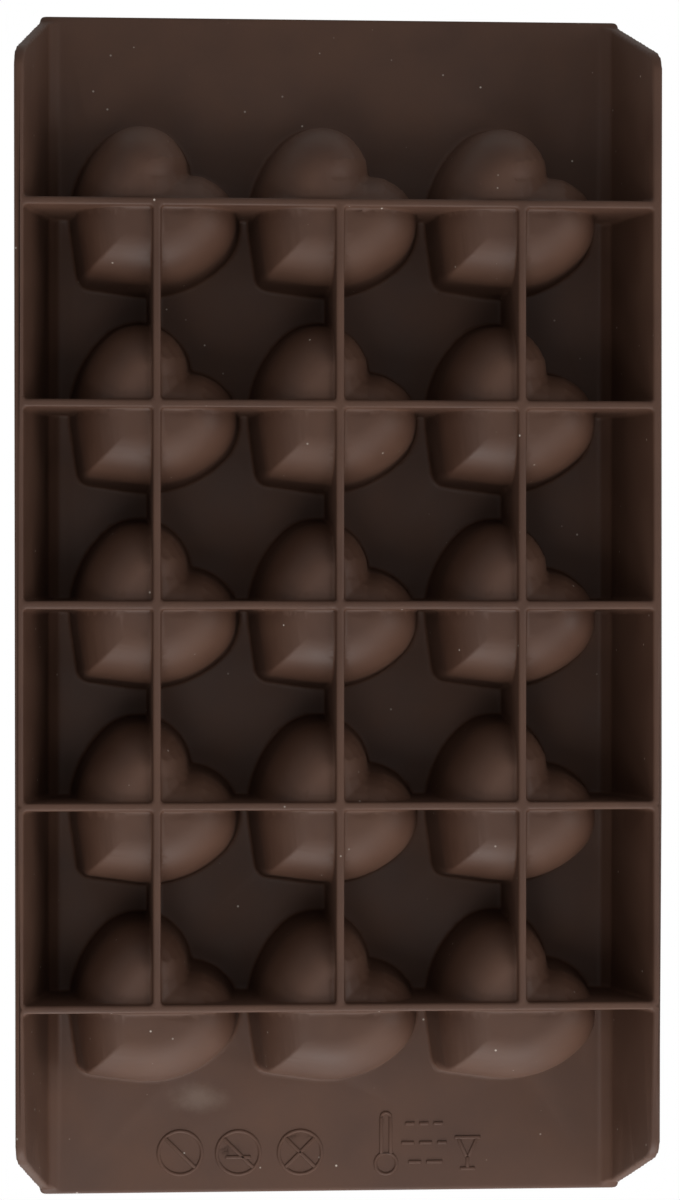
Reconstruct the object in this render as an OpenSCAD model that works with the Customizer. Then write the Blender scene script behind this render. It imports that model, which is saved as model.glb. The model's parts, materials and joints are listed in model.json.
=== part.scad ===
// Silicone mould for filled chocolates: fifteen heart-shaped pockets in one moulded piece.
// It lies face down. The flat face with the pockets' mouths is on z = 0, and the
// underside, with the pockets' outsides, the ribs and the two skirts, looks up.

/* [Pattern] */
// Pockets across the width
columns = 3; // [2:1:4]
// Pockets along the length
rows = 5; // [2:1:7]
// Distance between pockets across the width
column_pitch = 32.4; // [31.5:0.1:40]
// Distance between pockets along the length
row_pitch = 35.6; // [32:0.1:45]

/* [Plate] */
// Thickness of the plate
plate_thickness = 1.8; // [1.2:0.1:3]
// Plate past the centres of the outer columns
side_margin = 20.6; // [18:0.1:30]
// Plate past the centres of the first and last rows
end_margin = 35.8; // [20:0.1:60]
// Radius of the plate's corners
plate_corner = 1; // [0.5:0.1:3]

/* [Skirts and ribs] */
// Height of the skirts and of the ribs, from the flat face
total_height = 25; // [24.5:0.5:35]
// Lean of the skirts, outwards from the vertical, in degrees
skirt_lean = 11.5; // [2:0.1:15]
// Thickness of the skirts
skirt_thickness = 1.8; // [1:0.1:3]
// How far each end of a skirt is set back at its rim
skirt_setback = 9.2; // [2:0.1:15]
// Radius of the skirts' upper corners
skirt_corner = 4; // [1:0.1:8]
// Radius of the fillet between plate and skirt
skirt_fillet = 1.6; // [0.5:0.1:3]
// Thickness of the ribs at their tops
rib_thickness = 1.4; // [0.8:0.1:2.4]
// Draft of each rib face, in degrees
rib_draft = 0.7; // [0:0.1:2]

/* [Heart outline, at the flat face] */
// Half the distance between the centres of the two lobes
lobe_offset = 6.2; // [5.8:0.1:6.6]
// Radius of the lobes
lobe_radius = 9.6; // [9:0.1:10]
// Radius of the heart's sides, below the lobes
side_radius = 20; // [18:0.5:24]
// Radius of the tip
tip_radius = 2.6; // [2:0.1:3.5]
// How far the lobes' centres lie from the crossing of the ribs
lobe_shift = 2.5; // [1:0.1:4]
// Turn of the hearts, from the length of the mould, in degrees
heart_turn = -45; // [-60:5:-30]

/* [Pocket section] */
// Height of the pockets' outsides, from the flat face
pocket_height = 23.8; // [20:0.1:24.5]
// Height of the straight walls, below the dome
wall_height = 12; // [6:0.5:16]
// Thickness of the pockets' walls
pocket_wall = 1.5; // [1:0.1:1.8]
// Draft of the pockets' walls, in degrees
pocket_draft = 5.5; // [3:0.5:8]
// Steps of the dome, from the wall to its crown
dome_steps = 6; // [4:1:9]

/* [Hidden] */
$fn = 72;

plate_width = (columns - 1) * column_pitch + 2 * side_margin;
plate_length = (rows - 1) * row_pitch + 2 * end_margin;
flare = (total_height - plate_thickness) * tan(skirt_lean);
inner_width = plate_width - 2 * skirt_thickness / cos(skirt_lean);
far = 2 * plate_length;

// The flanks run down to the tip at 3 in 4, so the planes between the sweeps below are exact.
slope = [0.8, 0.6];
across = [slope.y, -slope.x];
lobe = [lobe_offset, 0];
side = [lobe_offset + lobe_radius - side_radius, 0];

// Everything past a vertical plane through the origin, on its +X side.
module past()
    translate([0, -far, -far]) cube(2 * far);

// A frame at a point, with X square to a flank and -Y along the flank to the tip.
module on_slope(point)
    translate(point) rotate(atan2(across.y, across.x)) children();

module flip()
    mirror([1, 0, 0]) children();

// Section of a pocket, square to its outline: X is the distance in from the outline and
// Y the height. The skin is how far the face lies inside the pocket's outer face.
// Above the drafted wall it is a quarter of an ellipse.
module pocket_section(skin, span) {
    apex = lobe_radius - skin;
    top = pocket_height - skin;
    reach = apex - wall_height * tan(pocket_draft);
    polygon([
        [0, 0],
        for (step = [0:dome_steps])
            let (turn = 90 * step / dome_steps)
                [apex - reach * cos(turn), wall_height + (top - wall_height) * sin(turn)],
        [span, top], [span, 0],
    ]);
}

// The section turned about the origin, where the outline is an arc.
module turned(reach, skin, angle)
    rotate_extrude(angle = angle) intersection() {
        square([reach, pocket_height]);
        translate([reach, 0]) mirror([1, 0]) pocket_section(skin, reach + lobe_radius);
    }

// The section drawn along -Y, where the outline is straight.
module drawn(reach, skin, length)
    translate([reach, 0, 0]) flip() rotate([90, 0, 0])
        linear_extrude(length) pocket_section(skin, reach);

module lobe_sector(skin)
    difference() {
        translate(lobe) turned(lobe_radius - skin, skin, 150);
        on_slope(lobe) rotate(-90) past();
    }

// From the notch in, between the lobe and the heart's axis.
module notch_sector(skin)
    intersection() {
        on_slope(lobe) flip() drawn(lobe_radius - skin, skin, lobe.x / slope.x);
        past();
    }

module side_sector(skin)
    intersection() {
        difference() {
            translate(side) turned(side_radius - skin, skin, -75);
            on_slope(side) rotate(-90) past();
        }
        on_slope(lobe) past();
        past();
    }

module flank_sector(skin, tip)
    intersection() {
        on_slope(side) drawn(side_radius - skin, skin, (side - tip) * slope);
        past();
    }

module tip_sector(skin, tip)
    difference() {
        translate(tip) rotate(180) turned(tip_radius, skin, 180);
        on_slope(tip) rotate(90) past();
        flip() on_slope(tip) rotate(90) past();
    }

// A heart as solid: the pocket's outside for no skin, its inside for a skin of one wall.
module heart(skin) {
    tip = [0, -(side * across + side_radius - skin - tip_radius) / slope.x];
    lobe_sector(skin);
    notch_sector(skin);
    side_sector(skin);
    flank_sector(skin, tip);
    tip_sector(skin, tip);
    flip() lobe_sector(skin);
    flip() notch_sector(skin);
    flip() side_sector(skin);
    flip() flank_sector(skin, tip);
}

module at_pockets()
    for (column = [0:columns - 1], row = [0:rows - 1])
        translate([(column - (columns - 1) / 2) * column_pitch, (row - (rows - 1) / 2) * row_pitch, 0])
            children();

module plate()
    linear_extrude(plate_thickness) difference() {
        square([plate_width, plate_length], center = true);
        for (x = [-1, 1], y = [-1, 1])
            translate([x * plate_width / 2, y * plate_length / 2]) mirror([x > 0 ? 1 : 0, 0]) mirror([0, y > 0 ? 1 : 0])
                difference() {
                    square(plate_corner);
                    translate([plate_corner, plate_corner]) circle(plate_corner);
                }
    }

// Outline of the skirts seen from the side: set back towards the rim, with rounded corners.
module skirt_side() {
    foot = plate_length / 2 - plate_corner;
    end_lean = atan((skirt_setback - plate_corner) / (total_height - plate_thickness));
    corner = [
        plate_length / 2 - skirt_setback + skirt_corner * (tan(end_lean) - 1 / cos(end_lean)),
        total_height - skirt_corner,
    ];
    difference() {
        polygon([
            [-foot, 0], [foot, 0], [foot, plate_thickness], [plate_length / 2 - skirt_setback, total_height],
            [skirt_setback - plate_length / 2, total_height], [-foot, plate_thickness],
        ]);
        for (end = [0, 1])
            mirror([end, 0]) difference() {
                polygon([
                    corner, [corner.x, far], [far, far], corner + far * [cos(end_lean), sin(end_lean)],
                ]);
                translate(corner) circle(skirt_corner);
            }
    }
}

module skirt_section()
    polygon([
        [inner_width / 2 - skirt_fillet, plate_thickness], [inner_width / 2 - skirt_fillet, 0],
        [plate_width / 2, 0], [plate_width / 2, plate_thickness],
        [plate_width / 2 + flare, total_height],
        [inner_width / 2 + flare, total_height],
        [inner_width / 2 + skirt_fillet * tan(skirt_lean), plate_thickness + skirt_fillet],
    ]);

module skirt()
    intersection() {
        rotate([90, 0, 0]) linear_extrude(plate_length, center = true) skirt_section();
        rotate([90, 0, 90]) linear_extrude(plate_width) skirt_side();
    }

// One rib standing on the plate along X, as long as given at its foot and wider at its top.
module rib(foot_length, top_length) {
    foot = rib_thickness / 2 + total_height * tan(rib_draft);
    intersection() {
        rotate([90, 0, 90]) linear_extrude(far, center = true)
            polygon([[-foot, 0], [foot, 0], [rib_thickness / 2, total_height], [-rib_thickness / 2, total_height]]);
        rotate([90, 0, 0]) linear_extrude(4 * foot, center = true)
            polygon([[-foot_length / 2, 0], [foot_length / 2, 0], [top_length / 2, total_height], [-top_length / 2, total_height]]);
    }
}

module ribs() {
    for (row = [0:rows - 1])
        translate([0, (row - (rows - 1) / 2) * row_pitch, 0])
            rib(inner_width + skirt_thickness, inner_width + 2 * flare + skirt_thickness);
    for (column = [0:columns - 1])
        translate([(column - (columns - 1) / 2) * column_pitch, 0, 0])
            rotate(90) rib((rows - 1) * row_pitch, (rows - 1) * row_pitch);
}

module mould()
    color("#4a352b") difference() {
        union() {
            plate();
            skirt();
            flip() skirt();
            ribs();
            at_pockets() rotate(heart_turn) translate([0, lobe_shift, 0]) heart(0);
        }
        at_pockets() rotate(heart_turn) translate([0, lobe_shift, 0]) heart(pocket_wall);
    }

mould();
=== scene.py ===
import bpy
import json
import math
import numpy as np
from mathutils import Matrix, Vector

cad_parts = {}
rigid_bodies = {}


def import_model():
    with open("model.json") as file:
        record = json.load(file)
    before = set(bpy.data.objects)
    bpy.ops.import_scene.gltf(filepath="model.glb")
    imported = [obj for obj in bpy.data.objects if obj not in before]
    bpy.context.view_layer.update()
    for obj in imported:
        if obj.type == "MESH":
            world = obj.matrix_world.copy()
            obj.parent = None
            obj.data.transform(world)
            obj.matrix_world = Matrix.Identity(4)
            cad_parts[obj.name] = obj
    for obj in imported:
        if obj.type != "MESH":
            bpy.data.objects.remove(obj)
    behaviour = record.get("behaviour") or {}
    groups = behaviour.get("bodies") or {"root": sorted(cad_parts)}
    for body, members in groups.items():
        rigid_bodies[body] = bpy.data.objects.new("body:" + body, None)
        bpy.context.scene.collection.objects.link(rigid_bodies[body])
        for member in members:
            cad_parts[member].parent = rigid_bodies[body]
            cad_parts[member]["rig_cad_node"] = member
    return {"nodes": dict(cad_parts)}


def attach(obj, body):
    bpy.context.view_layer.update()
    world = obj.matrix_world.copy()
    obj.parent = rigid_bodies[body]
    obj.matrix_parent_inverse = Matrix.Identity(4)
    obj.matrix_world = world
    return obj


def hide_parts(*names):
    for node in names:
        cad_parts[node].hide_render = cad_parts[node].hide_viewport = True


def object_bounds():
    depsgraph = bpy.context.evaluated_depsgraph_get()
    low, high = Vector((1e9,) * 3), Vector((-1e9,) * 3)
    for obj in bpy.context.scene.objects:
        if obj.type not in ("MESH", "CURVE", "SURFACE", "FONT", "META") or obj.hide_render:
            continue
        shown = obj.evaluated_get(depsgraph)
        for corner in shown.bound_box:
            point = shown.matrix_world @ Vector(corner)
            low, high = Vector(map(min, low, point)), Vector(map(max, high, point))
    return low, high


# Silicone mould for filled chocolates, lying face down, seen from its underside.
# All lengths in the dictionaries are in millimetres, and the lamps' powers in watts.

mm = 0.001

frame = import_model()
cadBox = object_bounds()
print("frame loaded")

# Sizes of the moulding that several pieces of the scene share
mould = {
    "plateTop": 1.8,
    "rim": cadBox[1][2] / mm,
    "rowPitch": 35.6,
    "columnPitch": 32.4,
}
# Rows and columns of the hearts; the cross ribs lie over the same rows
rows = [place * mould["rowPitch"] for place in (-2, -1, 0, 1, 2)]
columns = [place * mould["columnPitch"] for place in (-1, 0, 1)]

view = {
    "cameraPlace": (-53.1, -0.4, 718.8),
    "target": (0.0, 0.9, 24.0),
    "lens": 118.1,
    "sensor": 36,
    "nearClip": 10,
    "floorSize": 6000,
    "floorColour": "#f4f3f1",
}

lights = {
    # place, side of the square lamp, power
    "lamps": {
        "front lamp": ((0, -750, 350), 500, 4.7),
        "side lamp": ((650, -100, 450), 400, 1.6),
        "high lamp": ((-150, -400, 800), 300, 1.0),
    },
    "worldColour": "#ffffff",
    "worldStrength": 0.36,
}


def linearColour(hexCode):
    channels = [int(hexCode[i:i + 2], 16) / 255 for i in (1, 3, 5)]
    linear = [c / 12.92 if c <= 0.04045 else ((c + 0.055) / 1.055) ** 2.4 for c in channels]
    return (*linear, 1.0)


def addNode(tree, kind, settings=None, inputs=None):
    node = tree.nodes.new(kind)
    for name, value in (settings or {}).items():
        setattr(node, name, value)
    for name, value in (inputs or {}).items():
        if isinstance(value, bpy.types.NodeSocket):
            tree.links.new(value, node.inputs[name])
        else:
            node.inputs[name].default_value = value
    return node


def newMaterial(name):
    material = bpy.data.materials.new(name)
    material.use_nodes = True
    material.node_tree.nodes.clear()
    return material, material.node_tree


def deselectAll():
    bpy.ops.object.select_all(action="DESELECT")


def pick(obj):
    deselectAll()
    obj.select_set(True)
    bpy.context.view_layer.objects.active = obj


def applyModifier(obj, kind, settings):
    pick(obj)
    modifier = obj.modifiers.new(kind.title(), kind)
    for name, value in settings.items():
        setattr(modifier, name, value)
    bpy.ops.object.modifier_apply(modifier=modifier.name)


# One property of a mesh's corners, edges, loops or faces, as an array with a row for each of them
def readMesh(items, name, width, kind=np.float32):
    values = np.empty(width * len(items), dtype=kind)
    items.foreach_get(name, values)
    return values.reshape(-1, width)


def moveCorners(piece, points):
    piece.data.vertices.foreach_set("co", points.ravel())
    piece.data.update()


# Camera, over the mould's left side and turned a little towards its middle
deselectAll()
bpy.ops.object.camera_add(location=Vector(view["cameraPlace"]) * mm)
camera = bpy.context.object
camera.name = "camera"
camera.data.lens = view["lens"]
camera.data.sensor_width = view["sensor"]
camera.data.clip_start = view["nearClip"] * mm
backwards = (camera.location - Vector(view["target"]) * mm).normalized()
toRight = Vector((0, 1, 0)).cross(backwards).normalized()
upwards = backwards.cross(toRight)
camera.rotation_euler = Matrix((toRight, upwards, backwards)).transposed().to_euler()
bpy.context.scene.camera = camera
print("camera placed")


# Floor that keeps the mould's shadow, and is plain white where the camera sees it
def floorMaterial():
    material, tree = newMaterial("pale paper floor")
    lightPath = addNode(tree, "ShaderNodeLightPath")
    paper = addNode(tree, "ShaderNodeBsdfDiffuse", inputs={"Color": linearColour(view["floorColour"])})
    white = addNode(tree, "ShaderNodeEmission", inputs={"Color": (1, 1, 1, 1), "Strength": 1.0})
    mix = addNode(tree, "ShaderNodeMixShader", inputs={
        "Fac": lightPath.outputs["Is Camera Ray"], 1: paper.outputs[0], 2: white.outputs[0]})
    addNode(tree, "ShaderNodeOutputMaterial", inputs={"Surface": mix.outputs[0]})
    return material


deselectAll()
bpy.ops.mesh.primitive_plane_add(size=view["floorSize"] * mm, location=(0, 0, 0))
floor = bpy.context.object
floor.name = "floor"
floor.data.materials.append(floorMaterial())


# A square lamp that faces the middle of the mould
def softLamp(name, place, size, power):
    deselectAll()
    bpy.ops.object.light_add(type="AREA", location=Vector(place) * mm)
    lamp = bpy.context.object
    lamp.name = name
    lamp.data.shape = "SQUARE"
    lamp.data.size = size * mm
    lamp.data.energy = power
    lamp.rotation_euler = (-lamp.location).to_track_quat("-Z", "Y").to_euler()


for lampName, (lampPlace, lampSize, lampPower) in lights["lamps"].items():
    softLamp(lampName, lampPlace, lampSize, lampPower)
world = bpy.data.worlds.new("studio")
bpy.context.scene.world = world
world.use_nodes = True
world.node_tree.nodes["Background"].inputs["Color"].default_value = linearColour(lights["worldColour"])
world.node_tree.nodes["Background"].inputs["Strength"].default_value = lights["worldStrength"]
bpy.context.scene.view_settings.view_transform = "Standard"
print("floor and lights placed")


silicone = {
    "colour": "#573c2e",
    "deepColour": "#4d3428",
    "roughness": (0.52, 0.68),
    "ior": 1.41,
    "mottleSize": 16.0,              # soft clouds in the pigment
    "grainSize": 0.35,               # fine tooth of the tool's blasted steel
    "grainHeight": 0.012,
    "dustColour": "#ccc1b6",
    "dustCell": 3.4,                 # one speck at most in each cell of this size
    "dustSize": 0.23,                # a speck's radius
    "dustShare": 0.5,                # share of the cells that hold a speck
    "scuffPlace": (-24.3, -89.7),
    "scuffSize": (5.4, 2.8, 2.0),    # across, along and up
    "scuffCloud": 3.0,               # size of the clouds that break it up
    "scuffStrength": 0.38,
    "scuffColour": "#857468",
}


# Silicone rubber, cured in a blasted steel tool: a matt brown with a low, wide sheen, to which dust clings
def siliconeMaterial():
    material, tree = newMaterial("brown silicone rubber")
    place = addNode(tree, "ShaderNodeTexCoord").outputs["Object"]
    mottle = addNode(tree, "ShaderNodeTexNoise", inputs={
        "Vector": place, "Scale": 1 / (silicone["mottleSize"] * mm), "Detail": 4.0, "Roughness": 0.55})
    tone = addNode(tree, "ShaderNodeMapRange", inputs={
        "Value": mottle.outputs["Fac"], "From Min": 0.32, "From Max": 0.68})
    body = addNode(tree, "ShaderNodeMix", {"data_type": "RGBA"}, {
        0: tone.outputs[0], 6: linearColour(silicone["deepColour"]), 7: linearColour(silicone["colour"])})

    # A rubbed, whitish patch on the plate near its lower end, broken up by small clouds
    apart = addNode(tree, "ShaderNodeVectorMath", {"operation": "SUBTRACT"}, {
        0: place, 1: Vector((*silicone["scuffPlace"], mould["plateTop"])) * mm})
    scaled = addNode(tree, "ShaderNodeVectorMath", {"operation": "DIVIDE"}, {
        0: apart.outputs[0], 1: Vector(silicone["scuffSize"]) * mm})
    reach = addNode(tree, "ShaderNodeVectorMath", {"operation": "LENGTH"}, {0: scaled.outputs[0]})
    cloud = addNode(tree, "ShaderNodeTexNoise", inputs={
        "Vector": place, "Scale": 1 / (silicone["scuffCloud"] * mm), "Detail": 5.0, "Roughness": 0.7})
    edge = addNode(tree, "ShaderNodeMath", {"operation": "ADD"}, {
        0: reach.outputs["Value"], 1: cloud.outputs["Fac"]})
    scuff = addNode(tree, "ShaderNodeMapRange", {"interpolation_type": "SMOOTHSTEP"}, {
        "Value": edge.outputs[0], "From Min": 0.55, "From Max": 1.75,
        "To Min": silicone["scuffStrength"], "To Max": 0.0})
    rubbed = addNode(tree, "ShaderNodeMix", {"data_type": "RGBA"}, {
        0: scuff.outputs[0], 6: body.outputs[2], 7: linearColour(silicone["scuffColour"])})

    # Dust: a pale speck in some of the cells, never in the same place of its cell and not equally bright
    cells = addNode(tree, "ShaderNodeTexVoronoi", inputs={
        "Vector": place, "Scale": 1 / (silicone["dustCell"] * mm), "Randomness": 1.0})
    chance = addNode(tree, "ShaderNodeSeparateColor", inputs={0: cells.outputs["Color"]})
    chosen = addNode(tree, "ShaderNodeMath", {"operation": "LESS_THAN"}, {
        0: chance.outputs[0], 1: silicone["dustShare"]})
    grain = silicone["dustSize"] / silicone["dustCell"]
    speck = addNode(tree, "ShaderNodeMapRange", inputs={
        "Value": cells.outputs["Distance"], "From Min": 0.5 * grain, "From Max": grain,
        "To Min": 1.0, "To Max": 0.0})
    dust = addNode(tree, "ShaderNodeMath", {"operation": "MULTIPLY"}, {
        0: speck.outputs[0], 1: chosen.outputs[0]})
    faint = addNode(tree, "ShaderNodeMath", {"operation": "MULTIPLY"}, {
        0: dust.outputs[0], 1: chance.outputs[1]})
    colour = addNode(tree, "ShaderNodeMix", {"data_type": "RGBA"}, {
        0: faint.outputs[0], 6: rubbed.outputs[2], 7: linearColour(silicone["dustColour"])})

    rough = addNode(tree, "ShaderNodeMapRange", inputs={
        "Value": mottle.outputs["Fac"], "From Min": 0.3, "From Max": 0.7,
        "To Min": silicone["roughness"][0], "To Max": silicone["roughness"][1]})
    tooth = addNode(tree, "ShaderNodeTexNoise", inputs={
        "Vector": place, "Scale": 1 / (silicone["grainSize"] * mm), "Detail": 2.0, "Roughness": 0.6})
    bump = addNode(tree, "ShaderNodeBump", inputs={
        "Strength": 1.0, "Distance": silicone["grainHeight"] * mm, "Height": tooth.outputs["Fac"]})
    shader = addNode(tree, "ShaderNodeBsdfPrincipled", inputs={
        "Base Color": colour.outputs[2], "Roughness": rough.outputs[0], "IOR": silicone["ior"],
        "Normal": bump.outputs[0]})
    addNode(tree, "ShaderNodeOutputMaterial", inputs={"Surface": shader.outputs[0]})
    return material


rubber = siliconeMaterial()
print("silicone mixed")


skin = {
    "weld": 0.002,           # corners of the solid's faces that are closer than this are one
    "voxel": 0.34,
    "quickVoxel": 0.6,
    "smoothing": 3,
    "triangles": 190000,
    "unfolding": 4,
    "foldCosine": -0.2,      # of the angle between two faces' normals, from which their edge is a fold
    # how far the skirts' free edges sag inwards, from the lower end to the upper one
    "leftSag": (0.5, 0.8, 0.2, 0.15, 0.5, 0.1),
    "rightSag": (0.8, 0.3, 0.35, 0.35, 0.6, 0.2),
    "sagBend": 1.6,          # the larger it is, the nearer to the rim a skirt bends
    "sagStart": 49,          # the sag sets in at this distance from the middle line
    "sagEase": 4,            # and is whole this much further out
}


# The soft skirts' free edges, which sag inwards between the ribs that hold them out
def sagSkirts(piece):
    points = readMesh(piece.data.vertices, "co", 3)
    x, y, z = points.T / mm
    pitch = mould["rowPitch"]
    bay = np.searchsorted(rows, y)
    along = (y - (rows[0] + (bay - 1) * pitch)) / pitch
    atEnd = (bay == 0) | (bay == len(rows))
    fromLastRib = np.abs(along - (bay == 0))
    wave = np.where(atEnd, np.sin(0.5 * math.pi * fromLastRib), np.sin(math.pi * along)) ** 2
    height = (z - mould["plateTop"]) / (mould["rim"] - mould["plateTop"])
    rise = np.clip(height, 0, 1) ** skin["sagBend"]
    outer = np.clip((np.abs(x) - skin["sagStart"]) / skin["sagEase"], 0, 1)
    sag = np.where(x < 0, np.take(skin["leftSag"], bay), np.take(skin["rightSag"], bay))
    points[:, 0] -= np.sign(x) * sag * wave * rise * outer * mm
    moveCorners(piece, points)


# The rounds of a heart's outline at the flat face are given by centre and radius, for an upright heart
hearts = {
    "turn": math.radians(-45),
    "shift": 2.5,            # of the outline's frame, up from the heart's place
    "slope": (0.8, 0.6),     # direction of the straight flank, from the tip upwards
    "lobe": ((6.2, 0.0), 9.6),
    "side": ((-4.2, 0.0), 20.0),
    "tip": ((0.0, -18.6), 2.6),
    "wallHeight": 12.0,      # the drafted wall ends and the dome starts here
    "height": 23.8,
    "draft": math.radians(5.5),
    "wall": 1.5,
    "step": 0.02,            # between the two points that give the outline's direction
    # share of the dome's radius within which a point belongs to its surface, and over which that fades out
    "band": 0.03,
    "bandEase": 0.012,
    "startEase": 0.05,       # share of the dome's height over which the swelling sets in
}


def reachAlong(points, direction):
    return (points * np.conj(direction)).real


# How far each point lies inside a heart's outline, at the flat face.
# The outline's right half is a lobe, a side, a straight flank and a tip, and runs straight into the notch.
def insetOf(x, y):
    turned = (x + 1j * y) * np.exp(-1j * hearts["turn"]) - 1j * hearts["shift"]
    p = np.abs(turned.real) + 1j * turned.imag
    upFlank = complex(*hearts["slope"])
    outwards = -1j * upFlank
    (lobe, lobeRadius), (side, sideRadius), (tip, tipRadius) = hearts["lobe"], hearts["side"], hearts["tip"]
    fromLobe, fromSide, fromTip = (p - complex(*centre) for centre in (lobe, side, tip))
    upper = p.imag >= 0
    inset = lobeRadius - np.abs(fromLobe)
    notch = upper & (reachAlong(fromLobe, upFlank) > 0) & (fromLobe.real < 0)
    inset = np.where(notch, lobeRadius + reachAlong(fromLobe, outwards), inset)
    inset = np.where(upper, inset, sideRadius - np.abs(fromSide))
    flank = ~upper & (reachAlong(fromSide, upFlank) < 0)
    inset = np.where(flank, sideRadius - reachAlong(fromSide, outwards), inset)
    last = ~upper & (reachAlong(fromTip, upFlank) < 0)
    return np.where(last, tipRadius - np.abs(fromTip), inset)


# The domes, whose flats in the solid are swelled here to the full curve, outside and inside the pockets
def swellDomes(piece):
    points = readMesh(piece.data.vertices, "co", 3)
    x, y, z = points.astype(float).T / mm
    nearest = [np.array(places)[np.abs(v[:, None] - np.array(places)).argmin(axis=1)]
               for places, v in ((columns, x), (rows, y))]
    localX, localY = x - nearest[0], y - nearest[1]
    step = hearts["step"]
    inset = insetOf(localX, localY)
    inward = np.stack([insetOf(localX + step, localY) - insetOf(localX - step, localY),
                       insetOf(localX, localY + step) - insetOf(localX, localY - step)]) / (2 * step)
    for shell in (0.0, hearts["wall"]):
        apex = hearts["lobe"][1] - shell
        reach = apex - hearts["wallHeight"] * math.tan(hearts["draft"])
        rise = hearts["height"] - shell - hearts["wallHeight"]
        across = (apex - (inset - shell)) / reach
        above = (z - hearts["wallHeight"]) / rise
        radius = np.hypot(across, above)
        near = np.clip((hearts["band"] - np.abs(radius - 1)) / hearts["bandEase"], 0, 1)
        share = near * np.clip(above / hearts["startEase"], 0, 1)
        # far inside the dome the share is nought, and the least radius keeps the division finite
        grow = np.where(across > 0, share * (1 / np.maximum(radius, 0.5) - 1), 0)
        points[:, 0] -= grow * across * reach * inward[0] * mm
        points[:, 1] -= grow * across * reach * inward[1] * mm
        points[:, 2] += grow * above * rise * mm
    moveCorners(piece, points)


# The few corners that the decimation folds over, drawn flat again between their neighbours
def unfold(piece):
    mesh = piece.data
    for _ in range(skin["unfolding"]):
        # each edge of the closed skin has two triangles, and each triangle three loops in a row
        loopEdges = readMesh(mesh.loops, "edge_index", 1, np.int32).ravel()
        faces = np.argsort(loopEdges, kind="stable").reshape(-1, 2) // 3
        normals = readMesh(mesh.polygons, "normal", 3)[faces]
        folded = (normals[:, 0] * normals[:, 1]).sum(axis=1) < skin["foldCosine"]
        print("folded edges:", int(folded.sum()))
        chosen = np.zeros(len(mesh.vertices), dtype=bool)
        chosen[readMesh(mesh.edges, "vertices", 2, np.int32)[folded].ravel()] = True
        bpy.ops.object.mode_set(mode="EDIT")
        bpy.ops.mesh.select_mode(type="VERT")
        bpy.ops.mesh.select_all(action="DESELECT")
        bpy.ops.object.mode_set(mode="OBJECT")
        mesh.vertices.foreach_set("select", chosen)
        bpy.ops.object.mode_set(mode="EDIT")
        bpy.ops.mesh.vertices_smooth(factor=0.5, repeat=4)
        bpy.ops.object.mode_set(mode="OBJECT")


# The mould's skin: the solid's own faces, re-meshed finely so that every edge gets a soft moulded radius
def mouldSkin():
    pick(frame["nodes"]["mould"])
    bpy.ops.object.duplicate()
    piece = bpy.context.object
    piece.name = "mould_skin"
    del piece["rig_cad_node"]
    bpy.ops.object.mode_set(mode="EDIT")
    bpy.ops.mesh.select_all(action="SELECT")
    bpy.ops.mesh.remove_doubles(threshold=skin["weld"] * mm)
    bpy.ops.object.mode_set(mode="OBJECT")
    voxel = skin["voxel"]
    applyModifier(piece, "REMESH", {"mode": "VOXEL", "voxel_size": voxel * mm})
    print("re-meshed to", len(piece.data.polygons), "faces")
    swellDomes(piece)
    applyModifier(piece, "SMOOTH", {"factor": 0.5, "iterations": skin["smoothing"]})
    triangles = 2 * len(piece.data.polygons)
    if triangles > skin["triangles"]:
        applyModifier(piece, "DECIMATE", {
            "ratio": skin["triangles"] / triangles, "use_collapse_triangulate": True})
        unfold(piece)
    sagSkirts(piece)
    pick(piece)
    bpy.ops.object.shade_smooth()
    piece.data.materials.clear()
    piece.data.materials.append(rubber)
    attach(piece, "root")
    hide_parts("mould")
    print("skin has", len(piece.data.polygons), "faces")


mouldSkin()

# Places of the marks on the plate, and both ends of each stroke
marks = {
    "lineWidth": 0.65,
    "lineHeight": 0.2,
    "shoulder": 0.17,        # bevel of a stroke's edges
    "sink": 0.1,             # how far the rings reach down into the plate
    "overlap": 0.1,          # how far the stem's lines run into its round ends
    "ringSegments": 56,
    "lineSegments": 10,
    "creaseAngle": math.radians(40),
    "rings": ((-27.5, -99.7), (-16.9, -99.8), (-5.6, -99.8)),
    "ringRadius": 3.95,
    "ringStrokes": (
        ((-30.2, -97.0), (-24.8, -102.4)),
        ((-19.6, -97.1), (-14.2, -102.5)), ((-19.2, -100.6), (-14.6, -100.6)),
        ((-8.3, -97.1), (-2.9, -102.5)), ((-2.9, -97.1), (-8.3, -102.5)),
    ),
    "bulb": (10.1, -102.0),
    "bulbRadius": 1.95,
    "stemHalf": 0.85,        # half the stem's width
    "stemTop": -93.6,
    "bars": (
        ((13.6, -94.8), (15.4, -94.8)), ((16.2, -94.8), (18.0, -94.8)), ((18.8, -94.8), (20.6, -94.8)),
        ((12.9, -98.3), (15.3, -98.3)), ((16.2, -98.3), (18.6, -98.3)), ((19.5, -98.3), (21.3, -98.3)),
        ((14.2, -101.8), (16.6, -101.8)), ((17.5, -101.8), (20.5, -101.8)),
    ),
    "cup": (
        ((22.7, -97.4), (27.5, -97.4)), ((23.4, -97.6), (24.9, -100.9)), ((26.8, -97.6), (25.3, -100.9)),
        ((25.1, -100.9), (25.1, -103.0)), ((23.7, -103.1), (26.5, -103.1)),
    ),
}


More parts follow.
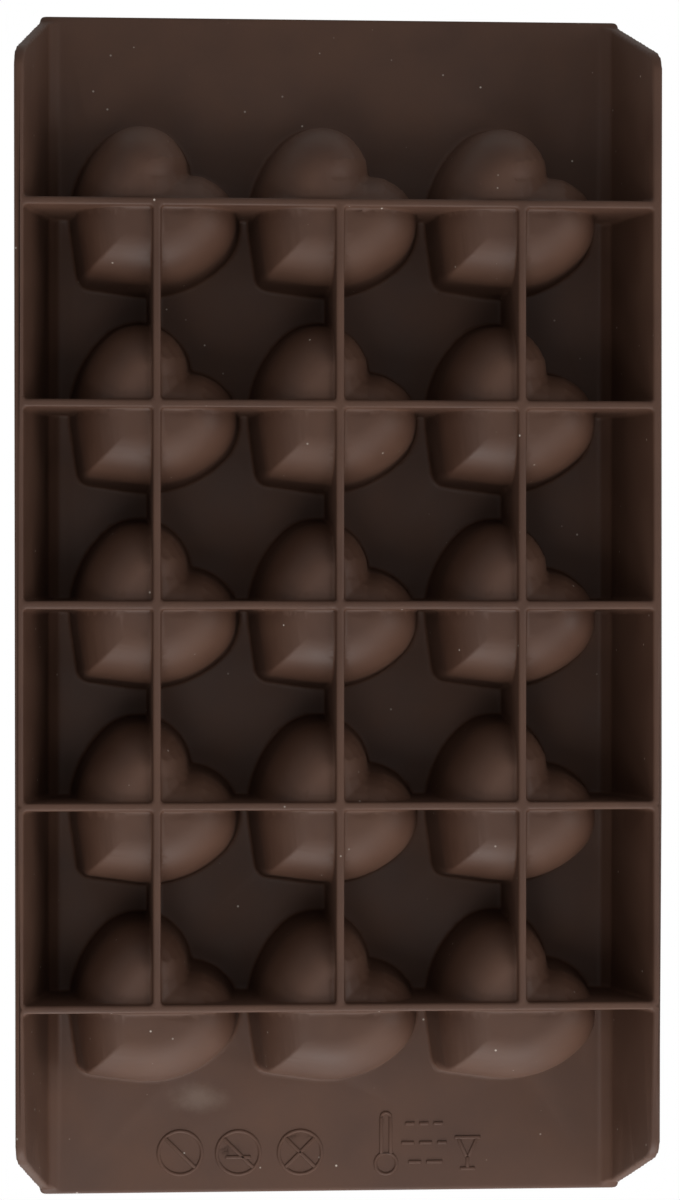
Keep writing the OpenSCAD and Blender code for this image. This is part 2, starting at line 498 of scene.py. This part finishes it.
# A raised ring, whole or cut off past a level line; what would lie deep inside the plate is cut away
def reliefRing(place, radius, cutAbove=None, cutBelow=None):
    deselectAll()
    bpy.ops.mesh.primitive_torus_add(
        major_radius=radius * mm, minor_radius=0.5 * marks["lineWidth"] * mm,
        major_segments=marks["ringSegments"], minor_segments=marks["lineSegments"],
        location=Vector((*place, mould["plateTop"])) * mm)
    ring = bpy.context.object
    bpy.ops.object.mode_set(mode="EDIT")
    bpy.ops.mesh.select_all(action="SELECT")
    bpy.ops.transform.resize(value=(1, 1, 2 * marks["lineHeight"] / marks["lineWidth"]))
    bpy.ops.mesh.select_all(action="SELECT")
    bpy.ops.mesh.bisect(plane_co=Vector((*place, mould["plateTop"] - marks["sink"])) * mm, plane_no=(0, 0, 1),
                        clear_inner=True, use_fill=True)
    for level, outwards in ((cutAbove, 1), (cutBelow, -1)):
        if level is not None:
            bpy.ops.mesh.select_all(action="SELECT")
            bpy.ops.mesh.bisect(plane_co=Vector((0, level, 0)) * mm, plane_no=(0, outwards, 0),
                                clear_outer=True, use_fill=True)
    bpy.ops.object.mode_set(mode="OBJECT")
    return ring


# A raised stroke with bevelled shoulders, from one point of the plate to another
def reliefStroke(start, end):
    run = Vector(end) - Vector(start)
    middle = (Vector(start) + Vector(end)) / 2
    deselectAll()
    bpy.ops.mesh.primitive_cube_add(size=1, location=Vector((*middle, mould["plateTop"])) * mm,
                                    rotation=(0, 0, math.atan2(run.y, run.x)))
    stroke = bpy.context.object
    stroke.scale = Vector((run.length, marks["lineWidth"], 2 * marks["lineHeight"])) * mm
    bpy.ops.object.transform_apply(location=False, rotation=False, scale=True)
    bpy.ops.object.mode_set(mode="EDIT")
    bpy.ops.mesh.select_all(action="SELECT")
    bpy.ops.mesh.bevel(offset=marks["shoulder"] * mm, segments=3, affect="EDGES")
    bpy.ops.object.mode_set(mode="OBJECT")
    return stroke


# Low raised marks at the plate's lower end: three rings with plain strokes, a thermometer's outline,
# short bare bars beside it, and a cup
def reliefMarks():
    bulbX, bulbY = marks["bulb"]
    half, stemTop, overlap = marks["stemHalf"], marks["stemTop"], marks["overlap"]
    joint = bulbY + math.sqrt(marks["bulbRadius"] ** 2 - half ** 2)
    parts = [reliefRing(place, marks["ringRadius"]) for place in marks["rings"]]
    parts += [reliefRing(marks["bulb"], marks["bulbRadius"], cutAbove=joint)]
    parts += [reliefRing((bulbX, stemTop), half, cutBelow=stemTop)]
    strokes = [*marks["ringStrokes"], *marks["bars"], *marks["cup"]]
    strokes += [((x, joint - overlap), (x, stemTop + overlap)) for x in (bulbX - half, bulbX + half)]
    parts += [reliefStroke(start, end) for start, end in strokes]
    deselectAll()
    for part in parts:
        part.select_set(True)
    bpy.context.view_layer.objects.active = parts[0]
    bpy.ops.object.join()
    relief = bpy.context.object
    relief.name = "relief_marks"
    bpy.ops.object.transform_apply(location=True, rotation=True, scale=True)
    bpy.ops.object.shade_smooth_by_angle(angle=marks["creaseAngle"])
    relief.data.materials.append(rubber)
    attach(relief, "root")
    print("relief has", len(relief.data.polygons), "faces")


reliefMarks()
